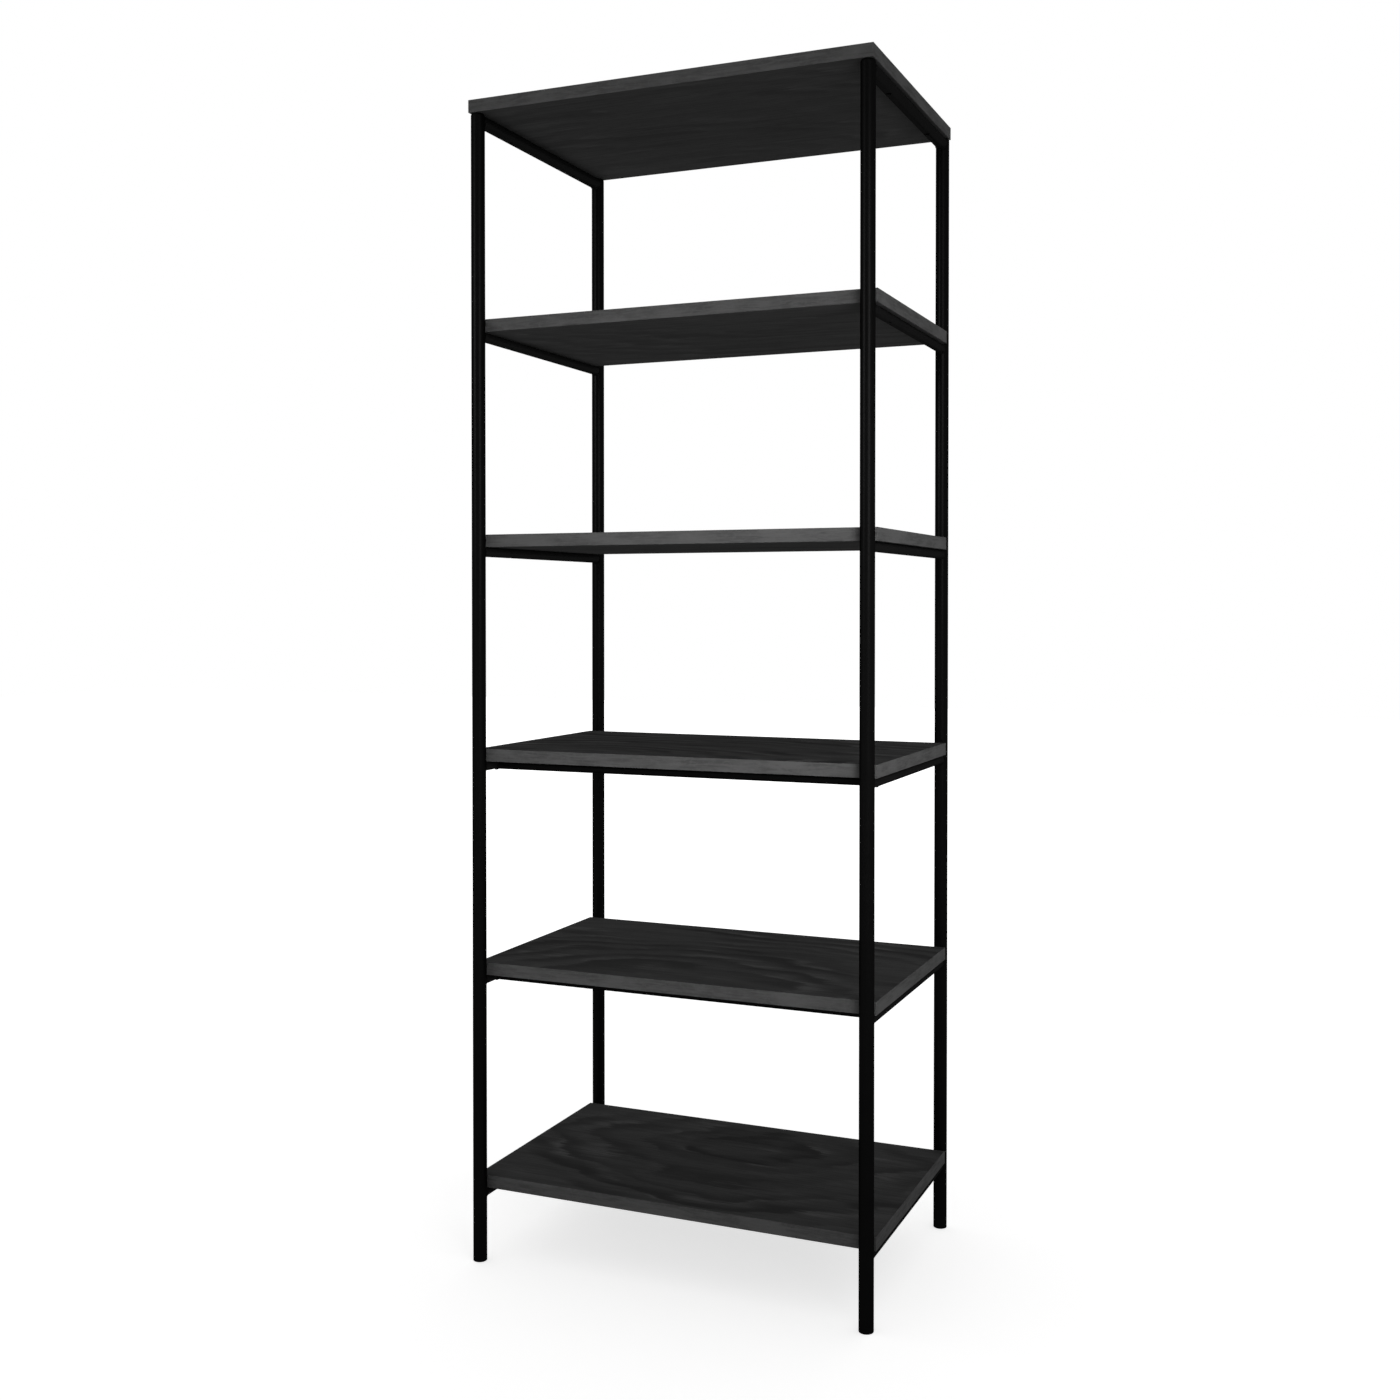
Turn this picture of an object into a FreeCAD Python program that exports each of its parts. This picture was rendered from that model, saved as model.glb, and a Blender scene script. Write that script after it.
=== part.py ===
import FreeCAD, Part
import os
import Sketcher

# Open shelf unit: six wood boards carried on a welded frame of round steel tube.
# The origin is on the floor under the middle of the unit. X runs along the front to the right,
# Y runs from front to back and Z runs up. Sizes are in millimetres.

SIZES = {
    # The whole unit
    "unit_width": 600,  # length of every board, and width over the outside of the posts
    "unit_depth": 400,  # depth of the top board, and depth over the outside of the posts
    "bottom_shelf_height": 120,  # floor to the upper face of the lowest board
    "shelf_spacing": 309,  # upper face of one board to the upper face of the next
    # Boards
    "board_thickness": 18,
    "shelf_clearance": 1,  # between a shelf's front or back edge and the posts
    "edge_band_thickness": 1,
    "arris_radius": 0.4,  # rounding of the outer corners of the edge bands
    # Posts, with a plug in the foot and a cap in the top of each
    "post_diameter": 20,
    "post_wall": 1.5,
    "plug_flange_height": 3,  # the part of the plug that stands between post and floor
    "plug_edge_radius": 0.8,
    "cap_flange_height": 8,  # the part of the cap that stands between post and top board
    "cap_edge_radius": 4,
    "spigot_length": 15,  # the part of a plug or cap inside the post
    "spigot_wall": 2,
    "spigot_clearance": 0.1,  # between spigot and tube wall
    # Rails and stretchers
    "top_rail_diameter": 18,
    "side_rail_diameter": 14,
    "rail_wall": 1.2,
    "stretcher_diameter": 14,
    "stretcher_wall": 1.2,
    "stretcher_setback": 36,  # shelf's front edge to the stretcher's axis
    "weld_gap": 0.2,  # root gap between a shaped tube end and the tube it is welded to
    # Screws from the rails up into the boards
    "screw_diameter": 4,
    "screw_head_diameter": 7,
    "screw_head_height": 2.4,
    "screw_point_length": 3,
    "screw_tip_cover": 5,  # wood left above the screw's tip
    "screw_setback": 80,  # shelf's front or back edge to the nearest screw
    "screw_clearance": 0.25,  # around the screw in the rail's upper wall
    "pilot_clearance": 0.05,  # around the screw in the board
    "access_clearance": 0.6,  # around the screw's head in the rail's lower wall
}

BOARD_NAMES = ["shelf_1", "shelf_2", "shelf_3", "shelf_4", "shelf_5", "top_board"]
TOP_LEVEL = len(BOARD_NAMES) - 1
STRETCHER_LEVELS = [1, 2]
SIDES_X = {"left": -1, "right": 1}
SIDES_Y = {"front": -1, "rear": 1}

# Places and sizes that several pieces share, worked out from the driving sizes
POST_X = "((Sizes.unit_width - Sizes.post_diameter) / 2)"
POST_Y = "((Sizes.unit_depth - Sizes.post_diameter) / 2)"
SHELF_DEPTH = "(Sizes.unit_depth - 2 * (Sizes.post_diameter + Sizes.shelf_clearance))"
SCREW_Y = f"({SHELF_DEPTH} / 2 - Sizes.screw_setback)"
SCREW_BITE = "(Sizes.board_thickness - Sizes.screw_tip_cover)"


def board_depth(level):
    """Depth of a board: the top one covers the posts, the others lie between them."""
    return "Sizes.unit_depth" if level == TOP_LEVEL else SHELF_DEPTH


def underside(level):
    """Height of a board's lower face above the floor."""
    return f"(Sizes.bottom_shelf_height + {level} * Sizes.shelf_spacing - Sizes.board_thickness)"


def rail_diameter(level):
    """Diameter of the two rails under a board."""
    return "Sizes.top_rail_diameter" if level == TOP_LEVEL else "Sizes.side_rail_diameter"


def signed(sign, expression):
    """The expression on the side that sign, -1 or 1, gives."""
    return expression if sign > 0 else f"-{expression}"


def make_sheet(doc):
    """Spreadsheet with one named cell for each driving size."""
    sheet = doc.addObject("Spreadsheet::Sheet", "Sizes")
    for row, (alias, value) in enumerate(SIZES.items(), start=1):
        sheet.set(f"A{row}", alias)
        sheet.set(f"B{row}", str(value))
        sheet.setAlias(f"B{row}", alias)
    doc.recompute()


def place(piece, x=None, y=None, z=None):
    """Bind a piece's position to the sheet; a direction left out stays at zero."""
    for direction, expression in (("x", x), ("y", y), ("z", z)):
        if expression is not None:
            piece.setExpression(f"Placement.Base.{direction}", expression)


def new_sketch(body, name, plane, shift_y=None, lift=None):
    """Sketch on one of the body's origin planes, moved within or off that plane if asked."""
    planes = {feature.Role: feature for feature in body.Origin.OriginFeatures}
    sketch = body.newObject("Sketcher::SketchObject", f"{body.Label}_{name}")
    sketch.AttachmentSupport = (planes[plane], [""])
    sketch.MapMode = "FlatFace"
    for direction, expression in (("y", shift_y), ("z", lift)):
        if expression is not None:
            sketch.setExpression(f"AttachmentOffset.Base.{direction}", expression)
    return sketch


def bind(sketch, constraint, expression):
    """Add a dimension to a sketch and tie it to the sheet."""
    index = sketch.addConstraint(constraint)
    sketch.renameConstraint(index, f"size_{index}")
    sketch.setExpression(f"Constraints.size_{index}", expression)


def add_circle(sketch, radius, x=(0, None), y=(0, None)):
    """Circle whose centre lies (side, distance) from the sketch's origin; side 0 is on the axis."""
    start = 10
    centre = FreeCAD.Vector(x[0] * start, y[0] * start, 0)
    circle = sketch.addGeometry(Part.Circle(centre, FreeCAD.Vector(0, 0, 1), 1))
    bind(sketch, Sketcher.Constraint("Radius", circle, 1), radius)
    origin_point = (-1, 1)
    centre_point = (circle, 3)
    zero_axes = {"DistanceX": -2, "DistanceY": -1}
    for kind, (side, distance) in (("DistanceX", x), ("DistanceY", y)):
        if side == 0:
            sketch.addConstraint(Sketcher.Constraint("PointOnObject", *centre_point, zero_axes[kind]))
        else:
            ends = (origin_point, centre_point)[::side]
            bind(sketch, Sketcher.Constraint(kind, *ends[0], *ends[1], start), distance)


def add_rectangle(sketch, width, depth):
    """Rectangle centred on the sketch's origin."""
    corners = [FreeCAD.Vector(x, y, 0) for x, y in ((-1, -1), (1, -1), (1, 1), (-1, 1))]
    for number in range(4):
        sketch.addGeometry(Part.LineSegment(corners[number], corners[(number + 1) % 4]))
    for number in range(4):
        sketch.addConstraint(Sketcher.Constraint("Coincident", number, 2, (number + 1) % 4, 1))
        sketch.addConstraint(Sketcher.Constraint("Vertical" if number % 2 else "Horizontal", number))
    sketch.addConstraint(Sketcher.Constraint("Symmetric", 0, 1, 2, 1, -1, 1))
    bind(sketch, Sketcher.Constraint("DistanceX", 0, 1, 0, 2, 2), width)
    bind(sketch, Sketcher.Constraint("DistanceY", 1, 1, 1, 2, 2), depth)


def pad(body, sketch, length, symmetric=False):
    """Raise a sketch to a solid, upwards or evenly to both sides of its plane."""
    feature = body.newObject("PartDesign::Pad", f"{sketch.Label}_pad")
    feature.Profile = sketch
    feature.SideType = "Symmetric" if symmetric else "One side"
    feature.setExpression("Length", length)


def pocket(body, sketch, length, upward=False):
    """Cut a sketch into the body, down from its plane or up from it."""
    feature = body.newObject("PartDesign::Pocket", f"{sketch.Label}_pocket")
    feature.Profile = sketch
    feature.Reversed = upward
    feature.setExpression("Length", length)


def cut_through(body, sketch):
    """Cut a sketch right through the body, to both sides of its plane."""
    feature = body.newObject("PartDesign::Pocket", f"{sketch.Label}_cut")
    feature.Profile = sketch
    feature.Type = "ThroughAll"
    feature.SideType = "Symmetric"


def round_edges(doc, body, name, chosen, radius):
    """Fillet those edges of the body so far that the test called chosen picks."""
    doc.recompute()
    base = body.Tip
    names = [f"Edge{n}" for n, edge in enumerate(base.Shape.Edges, start=1) if chosen(edge)]
    feature = body.newObject("PartDesign::Fillet", f"{body.Label}_{name}")
    feature.Base = (base, names)
    feature.setExpression("Radius", radius)


def tube_body(doc, label, plane, diameter, wall, length, symmetric):
    """Straight length of round tube, its section drawn on the plane that it stands square to."""
    body = doc.addObject("PartDesign::Body", label)
    section = new_sketch(body, "section", plane)
    add_circle(section, f"{diameter} / 2")
    add_circle(section, f"{diameter} / 2 - {wall}")
    pad(body, section, length, symmetric)
    return body


def make_post(doc, x_name, y_name):
    """Upright tube from its plug to its cap, which carries the top board."""
    length = f"{underside(TOP_LEVEL)} - Sizes.plug_flange_height - Sizes.cap_flange_height"
    post = tube_body(doc, f"post_{y_name}_{x_name}", "XY_Plane", "Sizes.post_diameter", "Sizes.post_wall",
                     length, symmetric=False)
    x = signed(SIDES_X[x_name], POST_X)
    y = signed(SIDES_Y[y_name], POST_Y)
    place(post, x, y, "Sizes.plug_flange_height")
    return post


def make_end_piece(doc, label, flange_height, edge_radius):
    """Piece for one end of a post, outer face down: a flange and a hollow spigot for the tube."""
    piece = doc.addObject("PartDesign::Body", label)
    spigot_radius = "(Sizes.post_diameter / 2 - Sizes.post_wall - Sizes.spigot_clearance)"
    full_height = f"({flange_height} + Sizes.spigot_length)"
    flange = new_sketch(piece, "flange", "XY_Plane")
    add_circle(flange, "Sizes.post_diameter / 2")
    pad(piece, flange, flange_height)
    spigot = new_sketch(piece, "spigot", "XY_Plane")
    add_circle(spigot, spigot_radius)
    pad(piece, spigot, full_height)
    hollow = new_sketch(piece, "hollow", "XY_Plane", lift=full_height)
    add_circle(hollow, f"{spigot_radius} - Sizes.spigot_wall")
    pocket(piece, hollow, "Sizes.spigot_length")
    limited_radius = f"min({edge_radius}; {flange_height} / 2)"
    round_edges(doc, piece, "outer_edge", lambda edge: edge.BoundBox.ZMax < 1e-6, limited_radius)
    return piece


def make_foot_plug(doc, x_name, y_name):
    """Plug in a post's lower end, which stands on the floor."""
    plug = make_end_piece(doc, f"foot_plug_{y_name}_{x_name}", "Sizes.plug_flange_height",
                          "Sizes.plug_edge_radius")
    place(plug, signed(SIDES_X[x_name], POST_X), signed(SIDES_Y[y_name], POST_Y))
    return plug


def make_post_cap(doc, x_name, y_name):
    """Cap in a post's upper end, turned over so that its rounded edge is up under the top board."""
    cap = make_end_piece(doc, f"post_cap_{y_name}_{x_name}", "Sizes.cap_flange_height",
                         "Sizes.cap_edge_radius")
    cap.Placement.Rotation = FreeCAD.Rotation(FreeCAD.Vector(1, 0, 0), 180)
    place(cap, signed(SIDES_X[x_name], POST_X), signed(SIDES_Y[y_name], POST_Y), underside(TOP_LEVEL))
    return cap


def make_rail(doc, level, x_name):
    """Rail under one end of a board, its ends shaped to the posts, with holes for two screws."""
    diameter = rail_diameter(level)
    label = f"top_rail_{x_name}" if level == TOP_LEVEL else f"rail_{level + 1}_{x_name}"
    rail = tube_body(doc, label, "XZ_Plane", diameter, "Sizes.rail_wall", f"2 * {POST_Y}", symmetric=True)
    cope = new_sketch(rail, "cope", "XY_Plane")
    upper_holes = new_sketch(rail, "upper_holes", "XY_Plane")
    lower_holes = new_sketch(rail, "lower_holes", "XY_Plane")
    for side in SIDES_Y.values():
        add_circle(cope, "Sizes.post_diameter / 2 + Sizes.weld_gap", y=(side, POST_Y))
        add_circle(upper_holes, "Sizes.screw_diameter / 2 + Sizes.screw_clearance", y=(side, SCREW_Y))
        add_circle(lower_holes, "Sizes.screw_head_diameter / 2 + Sizes.access_clearance", y=(side, SCREW_Y))
    cut_through(rail, cope)
    pocket(rail, upper_holes, diameter, upward=True)
    pocket(rail, lower_holes, diameter)
    place(rail, signed(SIDES_X[x_name], POST_X), z=f"{underside(level)} - {diameter} / 2")
    return rail


def make_stretcher(doc, level):
    """Bar across the unit behind a shelf's front edge, its ends shaped to the two rails."""
    stretcher = tube_body(doc, f"stretcher_{level + 1}", "YZ_Plane", "Sizes.stretcher_diameter",
                          "Sizes.stretcher_wall", f"2 * {POST_X}", symmetric=True)
    rail_above_axis = f"(Sizes.stretcher_diameter - {rail_diameter(level)}) / 2"
    cope = new_sketch(stretcher, "cope", "XZ_Plane", shift_y=rail_above_axis)
    for side in SIDES_X.values():
        add_circle(cope, f"{rail_diameter(level)} / 2 + Sizes.weld_gap", x=(side, POST_X))
    cut_through(stretcher, cope)
    place(stretcher, y=f"Sizes.stretcher_setback - {board_depth(level)} / 2",
          z=f"{underside(level)} - Sizes.stretcher_diameter / 2")
    return stretcher


def make_board(doc, level):
    """Board without its edge bands, with a pilot hole for each screw in its lower face."""
    board = doc.addObject("PartDesign::Body", BOARD_NAMES[level])
    outline = new_sketch(board, "outline", "XY_Plane")
    bands = "2 * Sizes.edge_band_thickness"
    add_rectangle(outline, f"Sizes.unit_width - {bands}", f"{board_depth(level)} - {bands}")
    pad(board, outline, "Sizes.board_thickness")
    pilots = new_sketch(board, "pilots", "XY_Plane")
    for side_x in SIDES_X.values():
        for side_y in SIDES_Y.values():
            radius = "Sizes.screw_diameter / 2 + Sizes.pilot_clearance"
            add_circle(pilots, radius, x=(side_x, POST_X), y=(side_y, SCREW_Y))
    pocket(board, pilots, f"{SCREW_BITE} + Sizes.pilot_clearance", upward=True)
    place(board, z=underside(level))
    return board


def make_edge_strip(doc, label, level, long_side, sign):
    """One edge band: the front and back ones run full length, the end ones fit between them."""
    strip = doc.addObject("PartDesign::Body", label)
    band = "Sizes.edge_band_thickness"
    width = "Sizes.unit_width" if long_side else band
    depth = band if long_side else f"({board_depth(level)} - 2 * {band})"
    outline = new_sketch(strip, "outline", "XY_Plane")
    add_rectangle(outline, width, depth)
    pad(strip, outline, "Sizes.board_thickness")

    def on_outer_face(edge):
        box = edge.BoundBox
        if long_side:
            return abs(box.YMin - box.YMax) < 1e-6 and box.YMax * sign > 0
        along_board = abs(box.ZMin - box.ZMax) < 1e-6
        return along_board and abs(box.XMin - box.XMax) < 1e-6 and box.XMax * sign > 0

    radius = f"min(Sizes.arris_radius; {band} / 2)"
    round_edges(doc, strip, "arris", on_outer_face, radius)
    if long_side:
        place(strip, y=signed(sign, f"({board_depth(level)} - {band}) / 2"), z=underside(level))
    else:
        place(strip, x=signed(sign, f"(Sizes.unit_width - {band}) / 2"), z=underside(level))
    return strip


def make_edge_bands(doc, level):
    """The four edge bands of a board, as one group."""
    label = f"{BOARD_NAMES[level]}_edge_bands"
    strips = []
    for name, sign in SIDES_Y.items():
        strips.append(make_edge_strip(doc, f"{label}_{name}", level, True, sign))
    for name, sign in SIDES_X.items():
        strips.append(make_edge_strip(doc, f"{label}_{name}", level, False, sign))
    return make_group(doc, label, strips)


def make_screw(doc, label, level, sign_x, sign_y):
    """Wood screw whose head bears on the inside of the rail's upper wall."""
    bore_radius = f"({rail_diameter(level)} / 2 - Sizes.rail_wall)"
    seat = f"sqrt({bore_radius} ^ 2 - (Sizes.screw_head_diameter / 2) ^ 2)"
    reach = f"({rail_diameter(level)} / 2 - {seat} + {SCREW_BITE})"
    head = doc.addObject("Part::Cylinder", f"{label}_head")
    head.setExpression("Radius", "Sizes.screw_head_diameter / 2")
    head.setExpression("Height", "Sizes.screw_head_height")
    place(head, z="-Sizes.screw_head_height")
    shank = doc.addObject("Part::Cylinder", f"{label}_shank")
    shank.setExpression("Radius", "Sizes.screw_diameter / 2")
    shank.setExpression("Height", f"{reach} - Sizes.screw_point_length")
    point = doc.addObject("Part::Cone", f"{label}_point")
    point.setExpression("Radius1", "Sizes.screw_diameter / 2")
    point.Radius2 = 0
    point.setExpression("Height", "Sizes.screw_point_length")
    place(point, z=f"{reach} - Sizes.screw_point_length")
    screw = doc.addObject("Part::MultiFuse", label)
    screw.Shapes = [head, shank, point]
    rail_axis = f"({underside(level)} - {rail_diameter(level)} / 2)"
    place(screw, signed(sign_x, POST_X), signed(sign_y, SCREW_Y), f"{rail_axis} + {seat}")
    return screw


def make_screws(doc, level):
    """The four screws of a board, as one group."""
    label = f"{BOARD_NAMES[level]}_screws"
    screws = []
    for name_x, sign_x in SIDES_X.items():
        for name_y, sign_y in SIDES_Y.items():
            screws.append(make_screw(doc, f"{label}_{name_y}_{name_x}", level, sign_x, sign_y))
    return make_group(doc, label, screws)


def make_group(doc, label, pieces):
    """Several separate solids under one name."""
    group = doc.addObject("Part::Compound", label)
    group.Links = pieces
    return group


def build_unit(doc):
    """Every sub-part of the unit."""
    make_sheet(doc)
    subparts = []
    for x_name in SIDES_X:
        for y_name in SIDES_Y:
            subparts.append(make_post(doc, x_name, y_name))
            subparts.append(make_foot_plug(doc, x_name, y_name))
            subparts.append(make_post_cap(doc, x_name, y_name))
    for level in range(len(BOARD_NAMES)):
        for x_name in SIDES_X:
            subparts.append(make_rail(doc, level, x_name))
        subparts.append(make_board(doc, level))
        subparts.append(make_edge_bands(doc, level))
        subparts.append(make_screws(doc, level))
    for level in STRETCHER_LEVELS:
        subparts.append(make_stretcher(doc, level))
    doc.recompute()
    return subparts


def check(doc, subparts):
    """Stop if any feature failed or any sub-part is empty or not valid."""
    failed = [item.Name for item in doc.Objects if {"Invalid", "Error"} & set(item.State)]
    if failed:
        raise RuntimeError(f"features that failed: {failed}")
    for piece in subparts:
        if piece.Shape.isNull() or not piece.Shape.isValid() or not piece.Shape.Solids:
            raise RuntimeError(f"sub-part {piece.Label} has no valid solid")


def export(subparts):
    """Write each sub-part to its own file."""
    os.makedirs("parts", exist_ok=True)
    for piece in subparts:
        piece.Shape.exportStep(f"parts/{piece.Label}.step")


document = FreeCAD.newDocument("open_shelf_unit")
pieces = build_unit(document)
check(document, pieces)
export(pieces)
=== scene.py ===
import math

import bmesh
import bpy
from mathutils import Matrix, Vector


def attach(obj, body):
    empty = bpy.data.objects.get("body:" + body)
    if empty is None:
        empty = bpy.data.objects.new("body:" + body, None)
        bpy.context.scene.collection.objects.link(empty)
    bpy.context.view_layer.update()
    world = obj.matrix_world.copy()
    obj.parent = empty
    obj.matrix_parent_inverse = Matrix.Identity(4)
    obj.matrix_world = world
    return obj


# The looks of an open shelf unit: black stained wood boards on a welded frame of black steel tube.
# Everything is in metres, in the frame of the CAD part: X to the right, Y to the back, Z up.

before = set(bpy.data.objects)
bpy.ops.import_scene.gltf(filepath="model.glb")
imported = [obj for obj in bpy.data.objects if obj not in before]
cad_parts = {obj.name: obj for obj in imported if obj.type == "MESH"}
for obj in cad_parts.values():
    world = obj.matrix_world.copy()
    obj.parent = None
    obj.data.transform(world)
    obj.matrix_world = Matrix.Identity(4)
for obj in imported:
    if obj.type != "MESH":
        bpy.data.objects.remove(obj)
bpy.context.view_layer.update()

# The boards from the lowest up, each with the place of the heart of its grain figure
BOARD_HEARTS = {
    "shelf_1": (0.04, 0.07),
    "shelf_2": (0.00, -0.20),
    "shelf_3": (-0.16, -0.20),
    "shelf_4": (0.12, 0.20),
    "shelf_5": (0.20, -0.19),
    "top_board": (-0.16, 0.21),
}
BOARDS = list(BOARD_HEARTS)
SIDES = {"left": -1, "right": 1}
ENDS = {"front": -1, "rear": 1}

# The photograph's camera, with angles in radians: it looks down a little, and its frame is shifted down
PHOTO_PIXELS = 1400
FOCAL_PIXELS = 1589.5
LENS_AXIS_PIXEL = 630.0
CAMERA_PLACE = (0.8960, -2.1650, 0.9458)
CAMERA_YAW = 0.4026
CAMERA_PITCH = -0.0158
SENSOR_WIDTH = 36.0

# Light, with angles in degrees: an even surround, a soft box, and two strips that show only in gloss, as
# streaks on the tubes
AMBIENT_STRENGTH = 0.5
KEY_BOX = {
    "azimuth": 40.0, "distance": 1.7, "height": 0.94,
    "size": (0.7, 0.7), "watts": 3.25, "spread": 60.0,
}
LEFT_STRIP = {
    "azimuth": -34.0, "distance": 3.0, "height": 1.72,
    "size": (0.7, 0.5), "watts": 10.0, "spread": 80.0,
}
RIGHT_STRIP = {
    "azimuth": 43.0, "distance": 1.35, "height": 1.38,
    "size": (0.3, 0.7), "watts": 4.4, "spread": 110.0,
}

# Linear grey levels of the finishes
VENEER_PORE = 0.025
VENEER_LATE_WOOD = 0.029
VENEER_EARLY_WOOD = 0.056
VENEER_FLUSH = 0.080
EDGE_FIBRE = 0.041
EDGE_DARK = 0.058
EDGE_MIDDLE = 0.080
EDGE_PALE = 0.091
POST_COAT = (0.0016, 0.0026)
# The rails' coat is the posts' black painted lighter: painted light for the light that falls on their sides
RAIL_COAT_PAINTED_LIGHTER = (0.0055, 0.0075)
PLASTIC = (0.0030, 0.0070)
SCREW_BLACK = (0.012, 0.024)

# Gloss that keeps nearly the same low strength at every angle, and its roughness on each finish
GLOSS_IOR = 3.0
GLOSS_WEIGHT = 0.006
WOOD_GLOSS_ROUGHNESS = 0.5
COAT_GLOSS_ROUGHNESS = 0.34
PLASTIC_GLOSS_ROUGHNESS = 0.55
SCREW_GLOSS_ROUGHNESS = 0.4

# Lowest and highest roughness of each finish under that gloss
VENEER_ROUGHNESS = (0.70, 0.86)
EDGE_ROUGHNESS = (0.66, 0.8)
COAT_ROUGHNESS = (0.5, 0.6)
PLASTIC_ROUGHNESS = (0.5, 0.65)
SCREW_ROUGHNESS = (0.45, 0.6)

# Depths of the fine relief of the finishes
PORE_DEPTH = 0.00008
PEEL_DEPTH = 0.00002
MOULDED_DEPTH = 0.00003
PHOSPHATE_DEPTH = 0.00003

# Grain figure: the proportions of a growth ring where the veneer's cut shows it, and how far the cut
# passes the middle of the tree, which spreads the rings out near the heart
FIGURE_LENGTH = 0.105
FIGURE_WIDTH = 0.062
CUT_DEPTH = 1.1
RINGS_PER_LENGTH = 1.6
RINGS_PER_BAND = 1.7

# Where each mark starts and where it is full: the two sides of a ring's dark line and its paler flush,
# as shares of the ring, and the dark of a band, as a count of rings
LINE_RISE = (0.25, 0.8)
LINE_FALL = (1.0, 0.86)
FLUSH_FADE = (0.5, 0.1)
BAND_RISE = (0.9, RINGS_PER_BAND)

# How many rings each noise shifts the figure by
DRIFT_RINGS = 4.2
WAVER_RINGS = 0.8
FEATHER_RINGS = 0.6

# Shares of each ring's own line, and of the bands of rings, in the dark late wood
LINE_SHARE = 0.65
BAND_SHARE = 0.35

# Strength of the figure where it is faint, where it is full, and on the undersides
FAINT_FIGURE = 0.30
FULL_FIGURE = 1.2
UNDERSIDE_FIGURE = 0.38
# The Z of a face's normal, from that of an underside to that of an upper side
FACING_UP = (-0.5, 0.5)

# Strength of the marks that lie over the figure, and of those on the edge bands
FIBRE_STRENGTH = 0.4
PORE_STRENGTH = 0.6
EDGE_PATCH_STRENGTH = 0.75
EDGE_SPECK_STRENGTH = 0.4
EDGE_FIBRE_STRENGTH = 0.4

# Noise in the wood: how many waves it has in a metre along X, Y and Z
DRIFT_WAVES = (3.4, 7.0, 20.0)
WAVER_WAVES = (14.0, 44.0, 20.0)
FEATHER_WAVES = (16.0, 420.0, 20.0)
FLAME_WAVES = (9.0, 22.0, 20.0)
CLOUD_WAVES = (5.0, 13.0, 20.0)
FIBRE_WAVES = (6.0, 300.0, 20.0)
PORE_WAVES = (38.0, 1500.0, 20.0)
EDGE_STREAK_WAVES = (26.0, 26.0, 260.0)
EDGE_PATCH_WAVES = (14.0, 14.0, 40.0)
EDGE_SPECK_WAVES = (150.0, 150.0, 190.0)
EDGE_FIBRE_WAVES = (90.0, 90.0, 2000.0)

# Noise in the coat, the plastic and the screws
PEEL_WAVES = (900.0, 900.0, 900.0)
COAT_CLOUD_WAVES = (35.0, 35.0, 35.0)
MOULDED_WAVES = (1600.0, 1600.0, 1600.0)
SCUFF_WAVES = (120.0, 120.0, 300.0)
PHOSPHATE_WAVES = (400.0, 400.0, 400.0)

# Levels of a noise where its mark starts and where it is full
FLAME_LEVELS = (0.49, 0.63)
CLOUD_LEVELS = (0.60, 0.42)
FIBRE_LEVELS = (0.42, 0.68)
PORE_LEVELS = (0.48, 0.75)
EDGE_STREAK_LEVELS = (0.34, 0.66)
EDGE_PATCH_LEVELS = (0.44, 0.68)
EDGE_SPECK_LEVELS = (0.48, 0.68)
EDGE_FIBRE_LEVELS = (0.55, 0.8)
SCUFF_LEVELS = (0.55, 0.8)
# Levels that most of any noise lies between
MOST_LEVELS = (0.3, 0.7)

# How far the wood of one board lies from the wood of the next in the noise that both are cut from
PIECE_STEP = (1.7, 0.9, 0.35)

# Floor: its glow, which only the eye and mirrors see, makes up for what light it lacks, and rises with
# the distance from the unit
FLOOR_HALF = 12.0
FLOOR_DIFFUSE = 0.8
FLOOR_NEAR_GLOW = 0.66
FLOOR_NEAR = 0.8
FLOOR_FAR = 3.5

# Frame, as in the CAD part
POST_X = 0.29
POST_Y = 0.19
POST_RADIUS = 0.01
SIDE_RAIL_RADIUS = 0.007
TOP_RAIL_RADIUS = 0.009
STRETCHER_RADIUS = 0.007
STRETCHER_Y = -0.143
BOTTOM_SHELF_UNDERSIDE = 0.102
SHELF_SPACING = 0.309
CAP_STRAIGHT_SIDE = 0.004
STRETCHER_LEVELS = [1, 2]

# Weld beads: each thins towards its two ends, and its ripple is a share of its radius
BEAD_RADIUS = 0.0015
BEAD_END_SHARE = 0.35
BEAD_SWELL = 8.0
BEAD_RIPPLE = 0.14
BEAD_RIPPLE_COUNT = 15
BEAD_STEPS = 96
BEAD_SIDES = 10
# A direction that no bead runs along
ASIDE = Vector((0.31, 0.52, 0.80))


def grey(level):
    """Neutral colour of a linear level."""
    return (level, level, level, 1.0)


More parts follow.
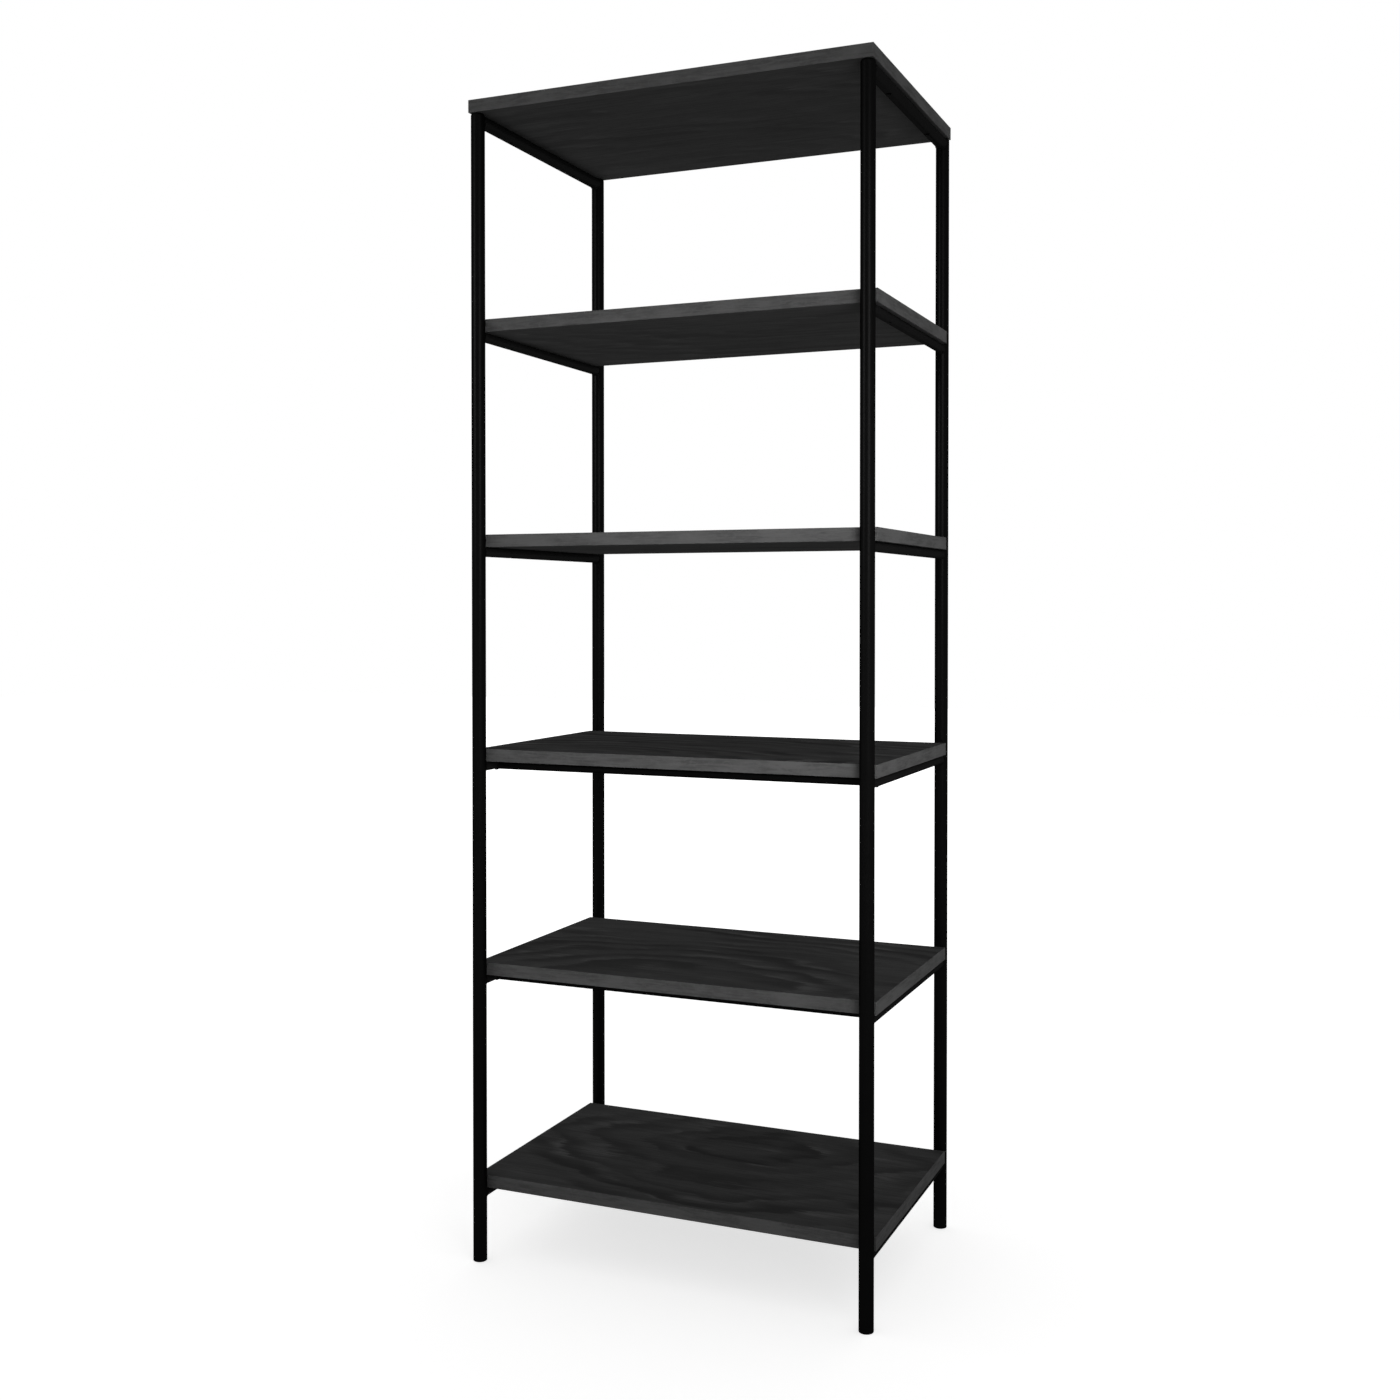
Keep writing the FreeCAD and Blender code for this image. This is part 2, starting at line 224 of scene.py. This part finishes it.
class Shader:
    """A material's node tree, with short ways to add and join nodes."""

    def __init__(self, tree):
        self.tree = tree

    def set_or_join(self, socket, value):
        """Join a socket to another, or set it to a value."""
        if isinstance(value, bpy.types.NodeSocket):
            self.tree.links.new(value, socket)
        else:
            socket.default_value = value

    def node(self, kind, inputs=None, **settings):
        """Add a node, set its properties, and join or set its inputs."""
        made = self.tree.nodes.new(kind)
        for name, value in settings.items():
            setattr(made, name, value)
        for name, value in (inputs or {}).items():
            self.set_or_join(made.inputs[name], value)
        return made

    def math(self, operation, *values):
        """Arithmetic on sockets and numbers."""
        made = self.node("ShaderNodeMath", operation=operation)
        for socket, value in zip(made.inputs, values):
            self.set_or_join(socket, value)
        return made.outputs[0]

    def product(self, first, second):
        """Product of two values."""
        return self.math("MULTIPLY", first, second)

    def weighted_sum(self, first_weight, first, *others):
        """Sum of values, each times the weight before it."""
        total = self.product(first, first_weight)
        for weight, value in zip(others[::2], others[1::2]):
            total = self.math("ADD", total, self.product(value, weight))
        return total

    def stretched(self, scale, offset=(0.0, 0.0, 0.0)):
        """The object's own coordinates, moved and then scaled along each axis."""
        place = self.node("ShaderNodeTexCoord").outputs["Object"]
        moved = self.node("ShaderNodeVectorMath", {0: place, 1: offset}, operation="ADD").outputs[0]
        return self.node("ShaderNodeVectorMath", {0: moved, 1: scale}, operation="MULTIPLY").outputs[0]

    def noise(self, waves, offset=(0.0, 0.0, 0.0), detail=2.0, roughness=0.5, distortion=0.0):
        """Smooth noise, 0 to 1, with so many waves in a metre along X, Y and Z."""
        inputs = {"Vector": self.stretched(waves, offset), "Scale": 1.0, "Detail": detail,
                  "Roughness": roughness, "Distortion": distortion}
        return self.node("ShaderNodeTexNoise", inputs).outputs["Fac"]

    def remap(self, value, low, high, to_low=0.0, to_high=1.0):
        """Map a range of values onto another, smoothly and held at its ends."""
        inputs = {"Value": value, "From Min": low, "From Max": high, "To Min": to_low, "To Max": to_high}
        return self.node("ShaderNodeMapRange", inputs, interpolation_type="SMOOTHSTEP").outputs["Result"]

    def mark(self, noise, levels, strength):
        """How strongly a mark covers the surface, from nothing up to its full strength."""
        return self.remap(noise, *levels, 0.0, strength)

    def mix_grey(self, factor, first, second):
        """Mix two colours, each a socket or a grey level."""
        made = self.node("ShaderNodeMix", data_type="RGBA")
        for name, value in (("Factor_Float", factor), ("A_Color", first), ("B_Color", second)):
            socket = next(s for s in made.inputs if s.identifier == name)
            self.set_or_join(socket, grey(value) if isinstance(value, float) else value)
        return next(s for s in made.outputs if s.identifier == "Result_Color")

    def bump(self, height, distance, strength=0.5):
        """Normal bent by a height given in units of distance."""
        inputs = {"Height": height, "Distance": distance, "Strength": strength}
        return self.node("ShaderNodeBump", inputs).outputs["Normal"]


def new_material(name):
    """Empty node material with its output and a main surface shader."""
    material = bpy.data.materials.new(name)
    material.use_nodes = True
    tree = material.node_tree
    tree.nodes.clear()
    shader = Shader(tree)
    surface = shader.node("ShaderNodeBsdfPrincipled")
    output = shader.node("ShaderNodeOutputMaterial")
    tree.links.new(surface.outputs[0], output.inputs["Surface"])
    return material, shader, surface


def finish_surface(shader, surface, colour, roughness, gloss_roughness, normal):
    """Colour and roughness of a surface under a weak even gloss, which doesn't flare up seen edge on."""
    inputs = surface.inputs
    shader.set_or_join(inputs["Base Color"], colour)
    shader.set_or_join(inputs["Roughness"], roughness)
    shader.set_or_join(inputs["Normal"], normal)
    shader.set_or_join(inputs["Specular IOR Level"], 0.0)
    shader.set_or_join(inputs["Coat Weight"], GLOSS_WEIGHT)
    shader.set_or_join(inputs["Coat IOR"], GLOSS_IOR)
    shader.set_or_join(inputs["Coat Roughness"], gloss_roughness)
    shader.set_or_join(inputs["Coat Normal"], normal)


def growth_rings(shader, offset, heart):
    """Count of growth rings from the heart of a board's figure, unevenly drawn out along X and feathered."""
    from_heart = (-heart[0], -heart[1], 0.0)
    ellipse = shader.stretched((1.0 / FIGURE_LENGTH, 1.0 / FIGURE_WIDTH, 0.0), from_heart)
    reach = shader.node("ShaderNodeVectorMath", {0: ellipse}, operation="LENGTH").outputs["Value"]
    radius = shader.math("SQRT", shader.math("MULTIPLY_ADD", reach, reach, CUT_DEPTH ** 2))
    drift = shader.noise(DRIFT_WAVES, offset, detail=1.5)
    waver = shader.noise(WAVER_WAVES, offset)
    feather = shader.noise(FEATHER_WAVES, offset, detail=3.0, roughness=0.6)
    return shader.weighted_sum(RINGS_PER_LENGTH, radius, DRIFT_RINGS, drift, WAVER_RINGS, waver,
                               FEATHER_RINGS, feather)


def veneer_material(name, offset, heart):
    """Black stained veneer: growth rings round a heart, paler flushes, and dark fibres and pores."""
    material, shader, surface = new_material(name)
    count = growth_rings(shader, offset, heart)
    ring = shader.math("FRACT", count)
    line = shader.product(shader.remap(ring, *LINE_RISE), shader.remap(ring, *LINE_FALL))
    band = shader.remap(shader.math("PINGPONG", count, RINGS_PER_BAND), *BAND_RISE)
    late_wood = shader.weighted_sum(LINE_SHARE, line, BAND_SHARE, band)
    flame = shader.noise(FLAME_WAVES, offset, detail=1.0)
    flush = shader.product(shader.remap(ring, *FLUSH_FADE), shader.remap(flame, *FLAME_LEVELS))
    pore = shader.noise(PORE_WAVES, offset, roughness=0.6)
    fibre = shader.noise(FIBRE_WAVES, offset, detail=3.0, roughness=0.6)
    cloud = shader.noise(CLOUD_WAVES, offset)
    # The figure is fainter in places, and on the undersides
    normal = shader.node("ShaderNodeNewGeometry").outputs["Normal"]
    up = shader.node("ShaderNodeSeparateXYZ", {0: normal}).outputs["Z"]
    figured = shader.remap(cloud, *CLOUD_LEVELS, FAINT_FIGURE, FULL_FIGURE)
    strength = shader.product(figured, shader.remap(up, *FACING_UP, UNDERSIDE_FIGURE, 1.0))
    base = shader.mix_grey(shader.product(late_wood, strength), VENEER_EARLY_WOOD, VENEER_LATE_WOOD)
    toned = shader.mix_grey(shader.product(flush, strength), base, VENEER_FLUSH)
    dark_fibre = shader.mark(fibre, FIBRE_LEVELS, FIBRE_STRENGTH)
    streaked = shader.mix_grey(dark_fibre, toned, VENEER_LATE_WOOD)
    dark_pore = shader.mark(pore, PORE_LEVELS, PORE_STRENGTH)
    grained = shader.mix_grey(dark_pore, streaked, VENEER_PORE)
    roughness = shader.remap(pore, *MOST_LEVELS, *VENEER_ROUGHNESS)
    finish_surface(shader, surface, grained, roughness, WOOD_GLOSS_ROUGHNESS, shader.bump(pore, PORE_DEPTH))
    return material


def edge_material(name, offset):
    """Stained edge band, mottled and with uneven streaks along the edge."""
    material, shader, surface = new_material(name)
    streak = shader.noise(EDGE_STREAK_WAVES, offset, detail=3.0, roughness=0.6, distortion=1.2)
    patch = shader.noise(EDGE_PATCH_WAVES, offset)
    speck = shader.noise(EDGE_SPECK_WAVES, offset, detail=3.0, roughness=0.65)
    fibre = shader.noise(EDGE_FIBRE_WAVES, offset)
    base = shader.mix_grey(shader.remap(streak, *EDGE_STREAK_LEVELS), EDGE_MIDDLE, EDGE_DARK)
    pale_patch = shader.mark(patch, EDGE_PATCH_LEVELS, EDGE_PATCH_STRENGTH)
    toned = shader.mix_grey(pale_patch, base, EDGE_PALE)
    pale_speck = shader.mark(speck, EDGE_SPECK_LEVELS, EDGE_SPECK_STRENGTH)
    mottled = shader.mix_grey(pale_speck, toned, EDGE_PALE)
    dark_fibre = shader.mark(fibre, EDGE_FIBRE_LEVELS, EDGE_FIBRE_STRENGTH)
    lined = shader.mix_grey(dark_fibre, mottled, EDGE_FIBRE)
    roughness = shader.remap(streak, *MOST_LEVELS, *EDGE_ROUGHNESS)
    finish_surface(shader, surface, lined, roughness, WOOD_GLOSS_ROUGHNESS, shader.bump(fibre, PORE_DEPTH))
    return material


def coat_material(name, levels):
    """Satin black powder coat with a fine orange peel."""
    material, shader, surface = new_material(name)
    peel = shader.noise(PEEL_WAVES)
    cloud = shader.noise(COAT_CLOUD_WAVES)
    colour = shader.mix_grey(cloud, *levels)
    roughness = shader.remap(cloud, *MOST_LEVELS, *COAT_ROUGHNESS)
    finish_surface(shader, surface, colour, roughness, COAT_GLOSS_ROUGHNESS, shader.bump(peel, PEEL_DEPTH))
    return material


def plastic_material():
    """Black moulded plastic of the foot plugs, a little scuffed."""
    material, shader, surface = new_material("foot_moulded_plastic")
    grain = shader.noise(MOULDED_WAVES, detail=1.0)
    scuff = shader.noise(SCUFF_WAVES, detail=3.0)
    colour = shader.mix_grey(shader.remap(scuff, *SCUFF_LEVELS), *PLASTIC)
    roughness = shader.remap(scuff, *MOST_LEVELS, *PLASTIC_ROUGHNESS)
    normal = shader.bump(grain, MOULDED_DEPTH)
    finish_surface(shader, surface, colour, roughness, PLASTIC_GLOSS_ROUGHNESS, normal)
    return material


def screw_material():
    """Black phosphated steel of the screws."""
    material, shader, surface = new_material("screw_phosphate")
    cloud = shader.noise(PHOSPHATE_WAVES, detail=3.0)
    colour = shader.mix_grey(cloud, *SCREW_BLACK)
    roughness = shader.remap(cloud, *MOST_LEVELS, *SCREW_ROUGHNESS)
    normal = shader.bump(cloud, PHOSPHATE_DEPTH)
    finish_surface(shader, surface, colour, roughness, SCREW_GLOSS_ROUGHNESS, normal)
    return material


def dress(node, material):
    """Give a CAD node its material in every slot."""
    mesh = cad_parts[node].data
    if not mesh.materials:
        mesh.materials.append(material)
    for number in range(len(mesh.materials)):
        mesh.materials[number] = material


def dress_all(post_coat):
    """Materials for every CAD node, with another piece of veneer on each board."""
    # The rails get their own copy of the black coat, painted lighter as painted light on their sides
    rail_coat_painted_lighter = coat_material("rail_powder_coat_painted_lighter", RAIL_COAT_PAINTED_LIGHTER)
    plastic = plastic_material()
    screw_black = screw_material()
    for number, (board, heart) in enumerate(BOARD_HEARTS.items()):
        offset = tuple(number * step for step in PIECE_STEP)
        dress(board, veneer_material(f"{board}_veneer", offset, heart))
        dress(f"{board}_edge_bands", edge_material(f"{board}_edge", offset))
        dress(f"{board}_screws", screw_black)
    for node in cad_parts:
        if node.startswith(("post_", "stretcher_")):
            dress(node, post_coat)
        elif node.startswith(("rail_", "top_rail_")):
            dress(node, rail_coat_painted_lighter)
        elif node.startswith("foot_plug_"):
            dress(node, plastic)


def sweep(name, centres, radii, material):
    """Closed skin of round sections along a line of points, as a piece of the frame."""
    mesh_maker = bmesh.new()
    rings = []
    for number, centre in enumerate(centres):
        ahead = centres[min(number + 1, len(centres) - 1)] - centres[max(number - 1, 0)]
        across = ahead.cross(ASIDE).normalized()
        upright = ahead.cross(across).normalized()
        ring = []
        for side in range(BEAD_SIDES):
            turn = 2.0 * math.pi * side / BEAD_SIDES
            spoke = math.cos(turn) * across + math.sin(turn) * upright
            ring.append(mesh_maker.verts.new(centre + radii[number] * spoke))
        rings.append(ring)
    for near, far in zip(rings, rings[1:]):
        for side in range(BEAD_SIDES):
            next_side = (side + 1) % BEAD_SIDES
            face = mesh_maker.faces.new((near[side], near[next_side], far[next_side], far[side]))
            face.smooth = True
    mesh_maker.faces.new(rings[0][::-1])
    mesh_maker.faces.new(rings[-1])
    bmesh.ops.recalc_face_normals(mesh_maker, faces=mesh_maker.faces)
    mesh = bpy.data.meshes.new(name)
    mesh_maker.to_mesh(mesh)
    mesh_maker.free()
    mesh.materials.append(material)
    piece = bpy.data.objects.new(name, mesh)
    bpy.context.scene.collection.objects.link(piece)
    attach(piece, "root")


def weld_bead(name, seam, highest_sine, material):
    """Rippled bead along a seam, from one side of the tube's top round below to the other."""
    reach = math.asin(highest_sine)
    first = -math.pi - reach
    span = math.pi + 2.0 * reach
    centres = []
    radii = []
    for step in range(BEAD_STEPS + 1):
        share = step / BEAD_STEPS
        centres.append(seam(first + share * span))
        swell = min(1.0, BEAD_END_SHARE + BEAD_SWELL * min(share, 1.0 - share))
        ripple = 1.0 + BEAD_RIPPLE * math.sin(2.0 * math.pi * BEAD_RIPPLE_COUNT * share)
        radii.append(BEAD_RADIUS * swell * ripple)
    sweep(name, centres, radii, material)


def rail_seam(radius, axis_z, side_x, side_y):
    """Line where a rail meets its post, as a function of the turn about the rail."""

    def point_at(turn):
        along_x = radius * math.cos(turn)
        from_post = math.sqrt(POST_RADIUS ** 2 - along_x ** 2)
        return Vector((side_x * POST_X + along_x, side_y * (POST_Y - from_post),
                       axis_z + radius * math.sin(turn)))

    return point_at


def stretcher_seam(axis_z, side_x):
    """Line where a stretcher meets its rail, as a function of the turn about the stretcher."""

    def point_at(turn):
        height = STRETCHER_RADIUS * math.sin(turn)
        from_rail = math.sqrt(max(SIDE_RAIL_RADIUS ** 2 - height ** 2, 0.0))
        return Vector((side_x * (POST_X - from_rail), STRETCHER_Y + STRETCHER_RADIUS * math.cos(turn),
                       axis_z + height))

    return point_at


def make_rail_welds(coat):
    """Beads where the rails meet the posts."""
    for level, board in enumerate(BOARDS):
        is_top = board == "top_board"
        radius = TOP_RAIL_RADIUS if is_top else SIDE_RAIL_RADIUS
        axis_z = BOTTOM_SHELF_UNDERSIDE + level * SHELF_SPACING - radius
        room_above = CAP_STRAIGHT_SIDE if is_top else radius - BEAD_RADIUS
        rail = "top_rail" if is_top else f"rail_{level + 1}"
        for x_name, side_x in SIDES.items():
            for y_name, side_y in ENDS.items():
                seam = rail_seam(radius, axis_z, side_x, side_y)
                weld_bead(f"weld_{rail}_{x_name}_{y_name}", seam, room_above / radius, coat)


def make_stretcher_welds(coat):
    """Beads where the stretchers meet the rails."""
    highest_sine = 1.0 - BEAD_RADIUS / STRETCHER_RADIUS
    for level in STRETCHER_LEVELS:
        axis_z = BOTTOM_SHELF_UNDERSIDE + level * SHELF_SPACING - STRETCHER_RADIUS
        for x_name, side_x in SIDES.items():
            seam = stretcher_seam(axis_z, side_x)
            weld_bead(f"weld_stretcher_{level + 1}_{x_name}", seam, highest_sine, coat)


def make_camera():
    """Camera where the photograph's stood."""
    data = bpy.data.cameras.new("camera")
    data.sensor_width = SENSOR_WIDTH
    data.lens = SENSOR_WIDTH * FOCAL_PIXELS / PHOTO_PIXELS
    data.shift_y = (LENS_AXIS_PIXEL - PHOTO_PIXELS / 2) / PHOTO_PIXELS
    camera = bpy.data.objects.new("camera", data)
    camera.location = CAMERA_PLACE
    camera.rotation_euler = (math.pi / 2 + CAMERA_PITCH, 0.0, CAMERA_YAW)
    bpy.context.scene.collection.objects.link(camera)
    bpy.context.scene.camera = camera


def seen_directly(shader):
    """1 for camera, glossy and transmission rays, 0 for the rest."""
    path = shader.node("ShaderNodeLightPath")
    seen = shader.math("MAXIMUM", path.outputs["Is Camera Ray"], path.outputs["Is Glossy Ray"])
    return shader.math("MAXIMUM", seen, path.outputs["Is Transmission Ray"])


def make_world():
    """White background to look at, with a softer ambient light."""
    world = bpy.data.worlds.new("studio")
    bpy.context.scene.world = world
    world.use_nodes = True
    world.node_tree.nodes.clear()
    shader = Shader(world.node_tree)
    strength = shader.remap(seen_directly(shader), 0.0, 1.0, AMBIENT_STRENGTH, 1.0)
    background = shader.node("ShaderNodeBackground", {"Color": grey(1.0), "Strength": strength})
    output = shader.node("ShaderNodeOutputWorld")
    world.node_tree.links.new(background.outputs[0], output.inputs["Surface"])


def make_soft_box(name, in_gloss, azimuth, distance, height, size, watts, spread):
    """Upright soft box, azimuth degrees right of the front, that lights surfaces or shows in their gloss."""
    data = bpy.data.lights.new(name, "AREA")
    data.shape = "RECTANGLE"
    data.size, data.size_y = size
    data.energy = watts
    data.spread = math.radians(spread)
    lamp = bpy.data.objects.new(name, data)
    turn = math.radians(azimuth)
    lamp.location = (distance * math.sin(turn), -distance * math.cos(turn), height)
    lamp.rotation_euler = (math.pi / 2, 0.0, turn)
    lamp.visible_diffuse = not in_gloss
    lamp.visible_glossy = in_gloss
    bpy.context.scene.collection.objects.link(lamp)


def floor_material():
    """Pale floor that reads as white and still takes a shadow."""
    material = bpy.data.materials.new("floor_white")
    material.use_nodes = True
    material.node_tree.nodes.clear()
    shader = Shader(material.node_tree)
    diffuse = shader.node("ShaderNodeBsdfDiffuse", {"Color": grey(FLOOR_DIFFUSE)})
    place = shader.node("ShaderNodeTexCoord").outputs["Object"]
    away = shader.node("ShaderNodeVectorMath", {0: place}, operation="LENGTH").outputs["Value"]
    glow = shader.remap(away, FLOOR_NEAR, FLOOR_FAR, FLOOR_NEAR_GLOW, 1.0)
    glow_strength = shader.product(seen_directly(shader), glow)
    glow_shader = shader.node("ShaderNodeEmission", {"Color": grey(1.0), "Strength": glow_strength})
    both = shader.node("ShaderNodeAddShader", {0: diffuse.outputs[0], 1: glow_shader.outputs[0]})
    output = shader.node("ShaderNodeOutputMaterial")
    material.node_tree.links.new(both.outputs[0], output.inputs["Surface"])
    return material


def make_floor():
    """Level floor under the unit, out past the edges of the picture."""
    mesh = bpy.data.meshes.new("floor")
    corners = [(-FLOOR_HALF, -FLOOR_HALF, 0), (FLOOR_HALF, -FLOOR_HALF, 0),
               (FLOOR_HALF, FLOOR_HALF, 0), (-FLOOR_HALF, FLOOR_HALF, 0)]
    mesh.from_pydata(corners, [], [(0, 1, 2, 3)])
    mesh.materials.append(floor_material())
    floor = bpy.data.objects.new("floor", mesh)
    bpy.context.scene.collection.objects.link(floor)


coat = coat_material("frame_powder_coat", POST_COAT)
dress_all(coat)
make_rail_welds(coat)
make_stretcher_welds(coat)
make_camera()
make_world()
make_soft_box("key", in_gloss=False, **KEY_BOX)
make_soft_box("left_strip", in_gloss=True, **LEFT_STRIP)
make_soft_box("right_strip", in_gloss=True, **RIGHT_STRIP)
make_floor()
bpy.context.scene.view_settings.view_transform = "Standard"
